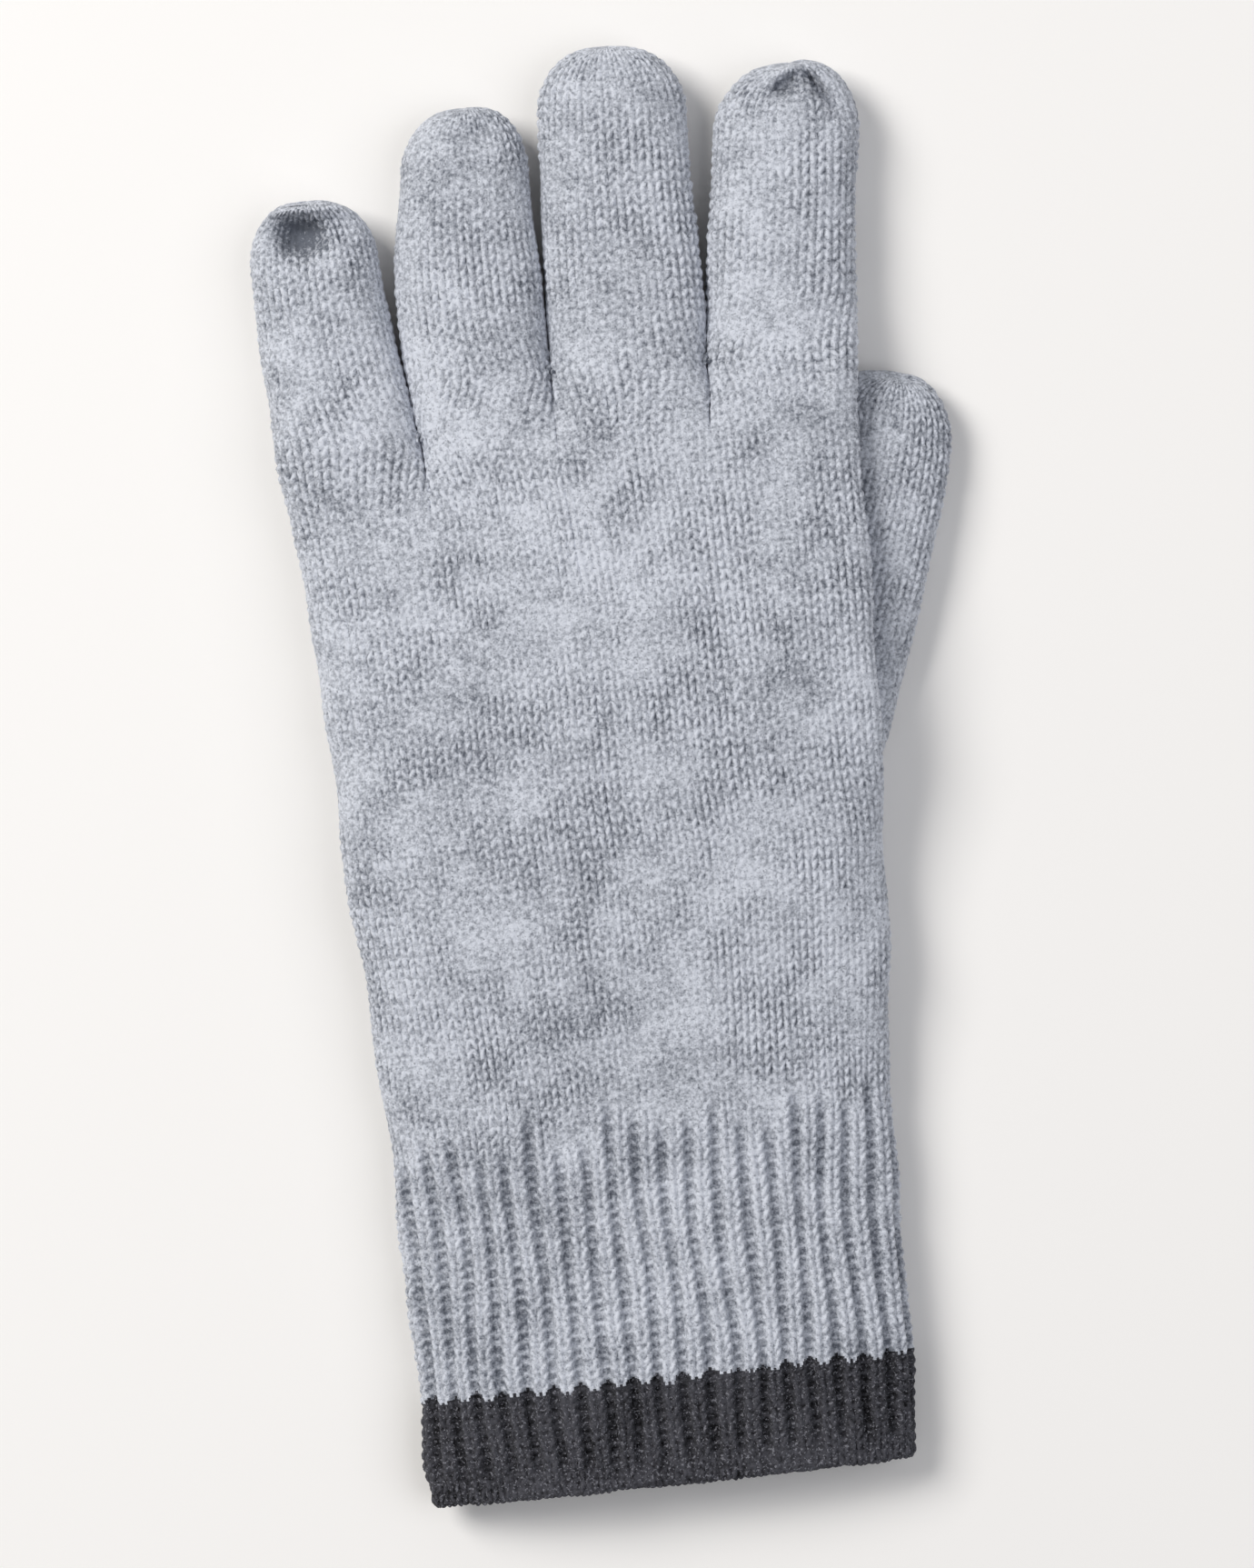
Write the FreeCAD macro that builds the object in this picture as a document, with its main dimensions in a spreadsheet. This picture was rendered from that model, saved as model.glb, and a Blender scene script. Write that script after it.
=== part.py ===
import FreeCAD, Part
import math
import os
import Sketcher

# A ribbed-cuff knitted glove for the left hand, lying palm down on a table.
# +Y runs from the wrist to the fingers, +X to the thumb side and +Z up through the back of the hand.
# The origin lies on the table, under the middle of the glove's length.
# Every tube is fabric of one wall thickness, closed at its tip and open at its root.

os.makedirs("parts", exist_ok=True)
doc = FreeCAD.newDocument("KnittedGlove")
sheet = doc.addObject("Spreadsheet::Sheet", "Sizes")

# Driving dimensions, in millimetres and degrees. Each "at" is a distance from the cuff's lower edge.
SIZES = {
    "origin_at": 127.0,
    "wall": 1.7,
    "gap": 0.4,
    "flat_trim": 0.8,
    "cuff_left": 42.6,
    "cuff_right": 43.2,
    "cuff_thick": 15.0,
    "cuff_wall": 2.2,
    "edge_at": 2.4,
    "band_at": 19.0,
    "wrist_at": 63.0,
    "hand_front_at": 196.0,
    "little_front_at": 187.0,
    "little_side": 26.0,
    "finger_thick": 13.0,
    "finger_round": 5.6,
    "tip_corner": 8.6,
    "thumb_thick": 8.6,
    "thumb_round": 3.6,
    "thumb_wall": 1.5,
    "thumb_root_x": 38.3,
    "thumb_root_at": 128.0,
    "thumb_lean": 20.0,
    "thumb_length": 67.5,
    "thumb_width": 24.6,
    "thumb_tip_width": 23.4,
    "thumb_tip_corner": 10.4,
    "recess_side_gap": 0.7,
    "recess_tip_gap": 2.0,
    "recess_reach": 60.0,
    "thumb_hole_width": 20.0,
    "hole_overlap": 0.4,
    "cut_overlap": 1.0,
    "notch_length": 20.0,
    "table_width": 200.0,
    "table_length": 300.0,
    "table_depth": 10.0,
    "eyelet_radius": 2.5,
    "eyelet_start": 3.0,
    "eyelet_depth": 6.0,
    "gather_proud": 0.8,
    "tie_radius": 1.0,
}

# The hand tube's oval sections: distance from the lower edge, left reach, right reach, thickness.
HAND_SECTIONS = {
    "wrist": (63.4, 43.3, 44.9, 15.0),
    "heel": (100.0, 45.6, 48.3, 19.0),
    "palm": (150.0, 47.3, 50.4, 20.0),
    "knuckle": (182.0, 50.0, 51.6, 19.4),
    "front": (196.0, 51.2, 52.3, 17.2),
}

# The fingers: root centre across the hand, root width, sideways shift of the tip, tip width, length.
FINGERS = {
    "little": (-38.6, 23.6, -1.7, 21.6, 44.8),
    "ring": (-13.6, 24.0, 2.6, 20.6, 49.1),
    "middle": (12.7, 26.6, 2.1, 24.4, 57.6),
    "index": (39.9, 25.0, 5.8, 22.8, 51.2),
}


def fill_sheet(sizes):
    """One alias for each size, in column A, with its plain number in column B."""
    for row, (alias, value) in enumerate(sizes.items(), start=1):
        sheet.set("A%d" % row, alias)
        sheet.set("B%d" % row, "%g" % value)
        sheet.setAlias("B%d" % row, alias)


def all_sizes():
    """The driving dimensions and the two tables as one set of named sizes."""
    sizes = dict(SIZES)
    for name, row in HAND_SECTIONS.items():
        for part, value in zip(("at", "left", "right", "thick"), row):
            sizes["hand_%s_%s" % (name, part)] = value
    for name, row in FINGERS.items():
        for part, value in zip(("root_x", "root_width", "shift", "tip_width", "length"), row):
            sizes["%s_%s" % (name, part)] = value
    return sizes


fill_sheet(all_sizes())
doc.recompute()


def cell(alias):
    """A size's value, for the few places that need a number rather than an expression."""
    return float(sheet.get(alias))


def bind(item, **expressions):
    """Ties an object's properties to sheet cells; a double underscore stands for a dot."""
    for path, expression in expressions.items():
        item.setExpression(path.replace("__", "."), named(expression))


def named(expression):
    """The same expression with each alias written as a cell of the sheet."""
    words = sorted(all_sizes(), key=len, reverse=True)
    out = ""
    while expression:
        word = next((w for w in words if expression.startswith(w)), None)
        step = len(word) if word else 1
        out += "Sizes." + word if word else expression[0]
        expression = expression[step:]
    return out


def plane_of(body, role):
    """One of a body's own origin planes."""
    return next(f for f in body.Origin.OriginFeatures if f.Role == role)


def constrain(sketch, *parts, name=None, expression=None):
    """Adds a constraint and ties it to the sheet when it has a name."""
    index = sketch.addConstraint(Sketcher.Constraint(*parts))
    if name:
        sketch.renameConstraint(index, name)
        sketch.setExpression("Constraints." + name, named(expression))


def add_oval(sketch, prefix, left, right, thick, lift):
    """An oval of two level lines and two half circles; left, right, thick and lift are expressions.

    The oval is drawn at a rough size, and its constraints set the real one."""
    first = sketch.GeometryCount
    up = FreeCAD.Vector(0, 0, 1)
    a, b, r = -40.0, 40.0, 7.0
    point = FreeCAD.Vector
    sketch.addGeometry(Part.LineSegment(point(a, 0, 0), point(b, 0, 0)))
    sketch.addGeometry(Part.ArcOfCircle(Part.Circle(point(b, r, 0), up, r), -math.pi / 2, math.pi / 2))
    sketch.addGeometry(Part.LineSegment(point(b, 2 * r, 0), point(a, 2 * r, 0)))
    sketch.addGeometry(Part.ArcOfCircle(Part.Circle(point(a, r, 0), up, r), math.pi / 2, 1.5 * math.pi))
    for n in range(4):
        constrain(sketch, "Tangent", first + n, 2, first + (n + 1) % 4, 1)
    constrain(sketch, "Horizontal", first)
    constrain(sketch, "Equal", first + 1, first + 3)
    radius = "(%s) / 2" % thick
    constrain(sketch, "Radius", first + 1, r, name=prefix + "Radius", expression=radius)
    reach = "%s - " + radius
    constrain(sketch, "DistanceX", -1, 1, first + 1, 3, b, name=prefix + "Right",
              expression=reach % right)
    constrain(sketch, "DistanceX", first + 3, 3, -1, 1, -a, name=prefix + "Left",
              expression=reach % left)
    constrain(sketch, "DistanceY", -1, 1, first + 1, 3, r, name=prefix + "Height",
              expression="%s + %s" % (lift, radius))


def upright_sketch(name, body=None, at="0"):
    """A sketch across the glove, facing the wrist, at a distance from the cuff's lower edge."""
    if body is None:
        sketch = doc.addObject("Sketcher::SketchObject", name)
        turn = FreeCAD.Rotation(FreeCAD.Vector(1, 0, 0), 90)
        sketch.Placement = FreeCAD.Placement(FreeCAD.Vector(0, 0, 0), turn)
        bind(sketch, Placement__Base__y="(%s) - origin_at" % at)
        return sketch
    sketch = body.newObject("Sketcher::SketchObject", name)
    sketch.AttachmentSupport = [(plane_of(body, "XZ_Plane"), "")]
    sketch.MapMode = "FlatFace"
    bind(sketch, AttachmentOffset__Base__z="-(%s)" % at)
    return sketch


def cuff_ring(label, start, end):
    """A length of the cuff's tube: one oval inside another, padded from start to end."""
    body = doc.addObject("PartDesign::Body", label)
    body.Label = label
    sketch = upright_sketch(label + "_section", body, "(%s)" % start)
    add_oval(sketch, "Outer", "cuff_left", "cuff_right", "cuff_thick", "0")
    add_oval(sketch, "Inner", "(cuff_left - cuff_wall)", "(cuff_right - cuff_wall)",
             "cuff_thick - 2 * cuff_wall", "cuff_wall")
    pad = body.newObject("PartDesign::Pad", label + "_pad")
    pad.Profile = sketch
    pad.Reversed = True
    bind(pad, Length="%s - (%s)" % (end, start))
    bind(body, Placement__Base__y="-origin_at")
    doc.recompute()
    return body


def hand_loft(name, inset, overrun):
    """The hand's oval sections lofted in straight runs, each drawn in by inset."""
    sketches = []
    last = len(HAND_SECTIONS) - 1
    for n, section in enumerate(HAND_SECTIONS):
        size = "hand_%s_" % section
        push = overrun * ((n == last) - (n == 0))
        sketch = upright_sketch("%s_%s" % (name, section), at="%sat + %g" % (size, push))
        if inset:
            add_oval(sketch, "Wall", "(%sleft - wall)" % size, "(%sright - wall)" % size,
                     "%sthick - 2 * wall" % size, "wall")
        else:
            add_oval(sketch, "Wall", size + "left", size + "right",
                     "%sthick + flat_trim" % size, "-flat_trim")
        sketches.append(sketch)
    loft = doc.addObject("Part::Loft", name)
    loft.Sections = sketches
    loft.Solid = True
    loft.Ruled = True
    doc.recompute()
    return loft


def block(name, lower, size, turned=False):
    """A box given by expressions; a turned one lies in the thumb's own leaning frame."""
    box = doc.addObject("Part::Box", name)
    bind(box, Length=size[0], Width=size[1], Height=size[2])
    if not turned:
        bind(box, Placement__Base__x=lower[0], Placement__Base__y="(%s) - origin_at" % lower[1],
             Placement__Base__z=lower[2])
        return box
    x, y, z = lower
    box.Placement.Rotation = FreeCAD.Rotation(FreeCAD.Vector(0, 0, 1), -cell("thumb_lean"))
    bind(box, Placement__Base__x=thumb_x % (x, y), Placement__Base__y=thumb_y % (y, x),
         Placement__Base__z=z)
    return box


# A place in the thumb's own frame (across, along), written in the glove's frame.
thumb_x = "thumb_root_x + (%s) * cos(thumb_lean * 1deg) + (%s) * sin(thumb_lean * 1deg)"
thumb_y = ("thumb_root_at - origin_at + (%s) * cos(thumb_lean * 1deg)"
           " - (%s) * sin(thumb_lean * 1deg)")


def cut(name, base, *tools):
    """Takes each tool away from the base in turn; the last result carries the name."""
    for n, tool in enumerate(tools):
        result = doc.addObject("Part::Cut", name if n == len(tools) - 1 else "%s_%d" % (name, n))
        result.Base = base
        result.Tool = tool
        base = result
    return base


def hand_tube():
    """The palm and back of the hand: an open tube with room under its thumb side for the thumb."""
    ceiling = "thumb_thick + gap"
    recess_left = "-thumb_width / 2 - recess_side_gap"
    recess_long = "thumb_length + recess_tip_gap + gap"
    under = "-cut_overlap"
    recess = block("ThumbRecess", (recess_left, "-gap", under),
                   ("recess_reach", recess_long, ceiling + " + cut_overlap"), turned=True)
    recess_walls = block("ThumbRecessWalls", (recess_left + " - wall", "-gap - wall", under),
                         ("recess_reach", recess_long + " + 2 * wall", ceiling + " + wall + cut_overlap"),
                         turned=True)
    notch_side = "-hand_front_left - cut_overlap"
    notch_width = "hand_front_left + cut_overlap - little_side"
    notch_height = "hand_palm_thick + 2 * cut_overlap"
    notch = block("LittleNotch", (notch_side, "little_front_at", under),
                  (notch_width, "notch_length", notch_height))
    notch_walls = block("LittleNotchWalls", (notch_side, "little_front_at", under),
                        (notch_width + " + wall", "notch_length", notch_height))
    table = block("BelowTable", ("-table_width / 2", "0", "-table_depth"),
                  ("table_width", "table_length", "table_depth"))
    hole = block("ThumbHole", ("-thumb_hole_width / 2", "-gap - wall - hole_overlap", "thumb_wall"),
                 ("thumb_hole_width", "wall + 2 * hole_overlap", "thumb_thick - 2 * thumb_wall"),
                 turned=True)
    cavity = cut("HandCavity", hand_loft("HandInside", True, cell("cut_overlap")), recess_walls,
                 notch_walls)
    return cut("hand_tube", hand_loft("HandOutside", False, 0.0), table, cavity, recess, notch,
               hole)


# An edge or face nearer than this to a finger's root plane, in mm, belongs to the open root.
ROOT_EDGE = 0.5


def finger_tube(label, width, tip_left, tip_right, length, thick, rounding, corner, wall):
    """A flat tube with a round closed tip, shelled from a filleted pad and open at its root.

    The outline is drawn at a rough size, and its constraints set the real one."""
    body = doc.addObject("PartDesign::Body", label)
    body.Label = label
    sketch = body.newObject("Sketcher::SketchObject", label + "_outline")
    sketch.AttachmentSupport = [(plane_of(body, "XY_Plane"), "")]
    sketch.MapMode = "FlatFace"
    corners = [FreeCAD.Vector(*p, 0) for p in ((-12, 0), (12, 0), (10, 50), (-10, 50))]
    for n in range(4):
        sketch.addGeometry(Part.LineSegment(corners[n], corners[(n + 1) % 4]))
    for n in range(4):
        constrain(sketch, "Coincident", n, 2, (n + 1) % 4, 1)
    constrain(sketch, "Horizontal", 0)
    constrain(sketch, "Horizontal", 2)
    constrain(sketch, "Symmetric", 0, 1, 0, 2, -1, 1)
    constrain(sketch, "DistanceX", 0, 1, 0, 2, 24, name="RootWidth", expression=width)
    constrain(sketch, "DistanceX", 2, 2, -1, 1, 10, name="TipLeft", expression=tip_left)
    constrain(sketch, "DistanceX", -1, 1, 2, 1, 10, name="TipRight", expression=tip_right)
    constrain(sketch, "DistanceY", -1, 1, 2, 1, 50, name="Length", expression=length)
    pad = body.newObject("PartDesign::Pad", label + "_pad")
    pad.Profile = sketch
    bind(pad, Length=thick)
    doc.recompute()

    far = pad.Shape.BoundBox.YMax
    corners_at_tip = [name for name, edge in edges_of(pad.Shape)
                      if upright(edge) and edge.CenterOfMass.y > far / 2]
    tip = body.newObject("PartDesign::Fillet", label + "_tip")
    tip.Base = (pad, corners_at_tip)
    bind(tip, Radius=corner)
    doc.recompute()

    rims = [name for name, edge in edges_of(tip.Shape)
            if not upright(edge) and edge.CenterOfMass.y > ROOT_EDGE]
    soft = body.newObject("PartDesign::Fillet", label + "_sides")
    soft.Base = (tip, rims)
    bind(soft, Radius=rounding)
    doc.recompute()

    root = next("Face%d" % (n + 1) for n, face in enumerate(soft.Shape.Faces)
                if face.BoundBox.YMax < ROOT_EDGE)
    shell = body.newObject("PartDesign::Thickness", label + "_wall")
    shell.Base = (soft, [root])
    shell.Reversed = True
    bind(shell, Value=wall)
    doc.recompute()

    ring = body.newObject("Sketcher::SketchObject", label + "_eyelet_circle")
    ring.AttachmentSupport = [(plane_of(body, "XZ_Plane"), "")]
    ring.MapMode = "FlatFace"
    ring.addGeometry(Part.Circle(FreeCAD.Vector(0, 6, 0), FreeCAD.Vector(0, 0, 1), 2))
    constrain(ring, "Radius", 0, 2, name="Radius", expression="eyelet_radius")
    constrain(ring, "DistanceY", -1, 1, 0, 3, 6, name="Height", expression="%s / 2" % thick)
    side = "(%s - (%s)) / 2" % (tip_right, tip_left)
    bind(ring, AttachmentOffset__Base__z="eyelet_start - (%s)" % length,
         AttachmentOffset__Base__x=side)
    constrain(ring, "PointOnObject", 0, 3, -2)
    eyelet = body.newObject("PartDesign::Pocket", label + "_eyelet")
    eyelet.Profile = ring
    bind(eyelet, Length="eyelet_depth")
    doc.recompute()
    assert eyelet.Shape.Volume < shell.Shape.Volume - 1, label + ": the eyelet cut nothing"
    return body


def edges_of(shape):
    """Each edge with the name that a fillet calls it by."""
    return [("Edge%d" % (n + 1), edge) for n, edge in enumerate(shape.Edges)]


def upright(edge):
    """Whether an edge runs along the thickness."""
    return edge.BoundBox.ZLength > 1


def tip_gather(label, x, y, z, turn=0.0):
    """The closing yarn drawn tight in the eyelet of a tip."""
    plug = doc.addObject("Part::Cylinder", label)
    plug.Label = label
    axis = FreeCAD.Rotation(FreeCAD.Vector(0, 0, 1), turn)
    plug.Placement.Rotation = axis * FreeCAD.Rotation(FreeCAD.Vector(1, 0, 0), -90)
    bind(plug, Radius="eyelet_radius", Height="wall + gather_proud", Placement__Base__x=x,
         Placement__Base__y=y, Placement__Base__z=z)
    return plug


def crotch_join(label, x, at, bottom, top):
    """The yarn that ties the back of the hand to the palm between two fingers."""
    tie = doc.addObject("Part::Cylinder", label)
    tie.Label = label
    bind(tie, Radius="tie_radius", Height="%s - (%s)" % (top, bottom), Placement__Base__x=x,
         Placement__Base__y="(%s) - origin_at" % at, Placement__Base__z=bottom)
    return tie


parts = [hand_tube()]

for finger in FINGERS:
    own = "%s_" % finger
    front = "little_front_at" if finger == "little" else "hand_front_at"
    tube = finger_tube(own + "finger_tube", own + "root_width",
                       "%stip_width / 2 - %sshift" % (own, own),
                       "%stip_width / 2 + %sshift" % (own, own),
                       own + "length", "finger_thick", "finger_round", "tip_corner", "wall")
    bind(tube, Placement__Base__x=own + "root_x",
         Placement__Base__y="%s + gap - origin_at" % front)
    parts.append(tube)
    parts.append(tip_gather(own + "tip_gather", "%sroot_x + %sshift" % (own, own),
                            "%s + gap - origin_at + %slength - wall" % (front, own),
                            "finger_thick / 2"))

thumb = finger_tube("thumb_tube", "thumb_width", "thumb_tip_width / 2", "thumb_tip_width / 2",
                    "thumb_length", "thumb_thick", "thumb_round", "thumb_tip_corner",
                    "thumb_wall")
thumb.Placement.Rotation = FreeCAD.Rotation(FreeCAD.Vector(0, 0, 1), -cell("thumb_lean"))
bind(thumb, Placement__Base__x="thumb_root_x", Placement__Base__y="thumb_root_at - origin_at")
parts.append(thumb)
inner_tip = "thumb_length - thumb_wall"
parts.append(tip_gather("thumb_tip_gather", thumb_x % ("0", inner_tip), thumb_y % (inner_tip, "0"),
                        "thumb_thick / 2", -cell("thumb_lean")))

ties = {
    "crotch_join_little_ring": ("-little_side + wall + tie_radius", "little_front_at - 1.6"),
    "crotch_join_ring_middle": ("(ring_root_x + middle_root_x) / 2", "hand_front_at - 1.6"),
    "crotch_join_middle_index": ("(middle_root_x + index_root_x) / 2", "hand_front_at - 1.6"),
}
for label, (x, at) in ties.items():
    parts.append(crotch_join(label, x, at, "wall", "hand_front_thick - wall"))

parts.append(cuff_ring("wrist_rib", "band_at", "wrist_at"))
parts.append(cuff_ring("contrast_band", "edge_at", "band_at"))
parts.append(cuff_ring("cast_on_edge", "0", "edge_at"))

doc.recompute()


def check_document():
    """Stops if any object failed to rebuild, or any sub-part is empty or broken."""
    for item in doc.Objects:
        state = set(item.State) & {"Invalid", "Error"}
        assert not state, "%s: %s" % (item.Label, sorted(state))
    for part in parts:
        shape = part.Shape
        assert not shape.isNull(), part.Label + " is empty"
        assert shape.isValid(), part.Label + " is not valid"
        assert len(shape.Solids) == 1, "%s has %d solids" % (part.Label, len(shape.Solids))


check_document()
for part in parts:
    part.Shape.exportStep("parts/%s.step" % part.Label)
    box = part.Shape.BoundBox
    print("%-26s %8.0f mm3  x %7.2f %7.2f  y %7.2f %7.2f  z %6.2f %6.2f" % (
        part.Label, part.Shape.Volume, box.XMin, box.XMax, box.YMin, box.YMax, box.ZMin, box.ZMax))
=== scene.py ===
import math
import bpy
import numpy as np
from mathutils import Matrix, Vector


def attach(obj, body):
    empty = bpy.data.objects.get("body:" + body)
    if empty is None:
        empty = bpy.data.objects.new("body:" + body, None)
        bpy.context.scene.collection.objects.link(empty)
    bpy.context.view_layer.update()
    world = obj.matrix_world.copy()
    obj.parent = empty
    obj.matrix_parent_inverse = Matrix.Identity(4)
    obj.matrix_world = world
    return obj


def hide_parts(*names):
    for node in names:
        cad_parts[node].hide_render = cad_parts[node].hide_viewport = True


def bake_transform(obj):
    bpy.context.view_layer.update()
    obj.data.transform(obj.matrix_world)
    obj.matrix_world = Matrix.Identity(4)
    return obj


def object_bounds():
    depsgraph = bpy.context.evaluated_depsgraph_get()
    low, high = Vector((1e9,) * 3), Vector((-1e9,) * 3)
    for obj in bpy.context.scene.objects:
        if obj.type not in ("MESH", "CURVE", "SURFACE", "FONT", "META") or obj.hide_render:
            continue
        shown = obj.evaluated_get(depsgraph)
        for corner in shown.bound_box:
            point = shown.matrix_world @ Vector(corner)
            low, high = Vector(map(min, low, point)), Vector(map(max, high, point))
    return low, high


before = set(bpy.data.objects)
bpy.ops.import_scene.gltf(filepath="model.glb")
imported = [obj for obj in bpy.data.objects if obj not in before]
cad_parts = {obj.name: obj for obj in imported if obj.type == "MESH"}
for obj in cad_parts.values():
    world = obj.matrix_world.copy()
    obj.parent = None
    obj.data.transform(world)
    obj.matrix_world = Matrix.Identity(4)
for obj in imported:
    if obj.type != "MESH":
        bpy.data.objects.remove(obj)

cad_low, cad_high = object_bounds()

# ---------------------------------------------------------------- camera, light and table
# The glove lies palm down. The camera hangs straight above it, turned a few degrees, far enough
# away that the fingers and the cuff are seen square on.
MM = 0.001
VIEW_ROLL = math.radians(-6)
VIEW_HEIGHT = 276 * MM
LENS, SENSOR = 100.0, 24.0
EYE_LIFT = VIEW_HEIGHT * LENS / SENSOR + 10 * MM

camera_data = bpy.data.cameras.new("camera")
camera_data.sensor_fit = "VERTICAL"
camera_data.sensor_height = SENSOR
camera_data.lens = LENS
bpy.context.scene.view_settings.view_transform = "Standard"
camera = bpy.data.objects.new("camera", camera_data)
camera.location = (4.5 * MM, -3.4 * MM, EYE_LIFT)
camera.rotation_euler = (0, 0, VIEW_ROLL)
bpy.context.scene.collection.objects.link(camera)
bpy.context.scene.camera = camera


def hex_linear(code):
    """An sRGB hex colour as linear red, green, blue and alpha."""
    channels = [int(code[n:n + 2], 16) / 255 for n in (0, 2, 4)]
    return [c / 12.92 if c <= 0.04045 else ((c + 0.055) / 1.055) ** 2.4 for c in channels] + [1.0]


def add_node(tree, kind, inputs=None, **settings):
    """Adds one node with its settings and links. An input is a value, a socket, or a formula: a
    tuple of an operation and its terms, which may be formulas too."""
    made = tree.nodes.new(kind)
    for key, value in settings.items():
        setattr(made, key, value)
    for key, value in (inputs or {}).items():
        if isinstance(value, tuple) and isinstance(value[0], str):
            terms = dict(enumerate(value[1:]))
            value = add_node(tree, "ShaderNodeMath", terms, operation=value[0]).outputs[0]
        if isinstance(value, bpy.types.NodeSocket):
            tree.links.new(value, made.inputs[key])
        else:
            made.inputs[key].default_value = value
    return made


def area_light(name, place, aim, size, power, colour):
    """A soft square lamp pointed at a place on the glove."""
    data = bpy.data.lights.new(name, "AREA")
    data.size = size
    data.energy = power
    data.color = hex_linear(colour)[:3]
    lamp = bpy.data.objects.new(name, data)
    lamp.location = place
    lamp.rotation_euler = (Vector(aim) - Vector(place)).to_track_quat("-Z", "Y").to_euler()
    bpy.context.scene.collection.objects.link(lamp)


area_light("key_light", (-1.05, 0.80, 1.26), (0, 0, 0), 0.9, 26.5, "FFFDFA")
area_light("fill_light", (1.25, -0.3, 1.7), (0, 0, 0), 1.8, 12.5, "F6F8FF")

world = bpy.data.worlds.new("studio")
world.use_nodes = True
world.node_tree.nodes["Background"].inputs["Color"].default_value = hex_linear("F4F5F8")
world.node_tree.nodes["Background"].inputs["Strength"].default_value = 0.3
bpy.context.scene.world = world

table_mesh = bpy.data.meshes.new("table")
half = 3.0
table_mesh.from_pydata([(-half, -half, 0), (half, -half, 0), (half, half, 0), (-half, half, 0)],
                       [], [(0, 1, 2, 3)])
table = bpy.data.objects.new("table", table_mesh)
bpy.context.scene.collection.objects.link(table)
painted_board = bpy.data.materials.new("painted_board")
painted_board.use_nodes = True
shader = painted_board.node_tree.nodes["Principled BSDF"]
shader.inputs["Base Color"].default_value = hex_linear("FBF9F6")
shader.inputs["Roughness"].default_value = 0.8
table_mesh.materials.append(painted_board)

# ---------------------------------------------------------------- cast-on edge
# The first rows, worked round as a narrow tube in the band's yarn, so the hem rolls to a soft
# rounded lip. It is lambswool, knitted in one with the band and the whole glove above it.
#
# One fabric, worked from the hem up: 80 stitches round the cuff and the hand, which part into
# four fingers of 20 and a few picked up at each fork. "at" is a distance from the hem in mm.
LEFT, RIGHT = 0, 1
HEM_Y = cad_low[1] / MM
WALES = 80
COURSE = 1.93
CELLS = 8
ROWS = 6


def smooth(x, low, high):
    """Rises softly from 0 at low to 1 at high."""
    part = np.clip((np.asarray(x, float) - low) / (high - low), 0, 1)
    return part * part * (3 - 2 * part)


def along(at, *points):
    """A measure that changes along the glove, smooth through (at, value) points."""
    xs, ys = np.array(points, float).T
    at = np.asarray(at, float)
    slopes = np.gradient(ys, xs)
    k = np.clip(np.searchsorted(xs, at) - 1, 0, len(xs) - 2)
    span = xs[k + 1] - xs[k]
    t = np.clip((at - xs[k]) / span, 0, 1)
    a = ys[k] * (1 + 2 * t) * (1 - t) ** 2 + slopes[k] * span * t * (1 - t) ** 2
    return a + ys[k + 1] * t * t * (3 - 2 * t) + slopes[k + 1] * span * t * t * (t - 1)


def left_edge(at):
    return along(at, (0, -42.4), (8, -42.9), (29, -43.0), (49, -43.4), (68, -43.7), (87, -44.7),
                 (107, -46.1), (133, -46.9), (152, -47.6), (171, -49.3), (191, -50.9), (204, -51.8))


def right_edge(at):
    return along(at, (0, 42.6), (8, 43.2), (33, 43.7), (46, 44.1), (65, 45.2), (84, 46.8),
                 (103, 48.3), (123, 49.6), (145, 50.2), (170, 51.2), (193, 52.1), (206, 53.4))


# Where each fork's crease runs, and the distance from the hem at which its two fingers part.
FORKS = [((150, -24.0), (187, -25.3), (197, -26.3)), ((150, 0.5), (196, -1.4), (205, -1.0)),
         ((150, 25.0), (196, 26.3), (205, 27.2))]
PARTED = (187.0, 196.5, 195.5)

def thickness(at):
    """Height of the back of the glove above the table."""
    return along(at, (0, 12.6), (20, 13.2), (60, 13.6), (80, 15.4), (105, 17.6), (140, 18.6),
                 (165, 17.8), (180, 16.2), (190, 14.8), (198, 13.6), (215, 12.8), (260, 12.4))


THUMB_ROOT_X, THUMB_ROOT_AT, THUMB_LEAN = 38.3, 128.0, math.radians(20)


def palm_lift(x, y_at):
    """How far the palm is held off the table by the thumb folded in under it."""
    c, s = math.cos(THUMB_LEAN), math.sin(THUMB_LEAN)
    across = (x - THUMB_ROOT_X) * c - (y_at - THUMB_ROOT_AT) * s
    up = (x - THUMB_ROOT_X) * s + (y_at - THUMB_ROOT_AT) * c
    return 8.9 * smooth(across, -24, -11) * smooth(up, -14, 4) * (1 - smooth(up, 62, 82))


def ripple(x, y, z, size, seed):
    """Smooth unevenness between -1 and 1 that repeats nowhere near."""
    rng = np.random.default_rng(seed)
    total = 0
    for _ in range(5):
        way = rng.normal(size=3)
        way /= np.linalg.norm(way)
        wave = 2 * math.pi / (size * rng.uniform(0.7, 1.5))
        total = total + np.sin((x * way[0] + y * way[1] + z * way[2]) * wave + rng.uniform(0, 6.28))
    return total / 5


def fork_depth(fork, at):
    """How far the crease below a fork has sunk: 0 is flat fabric, 1 is where two fingers part."""
    return np.clip((at - PARTED[fork] + 15) / 15, 0, 1) ** 1.6


def dome(x, power=2.4):
    """Height of a soft rounded section over its width, from -1 to 1."""
    return np.clip(1 - np.abs(x) ** power, 0, 1) ** (1 / power)


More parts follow.
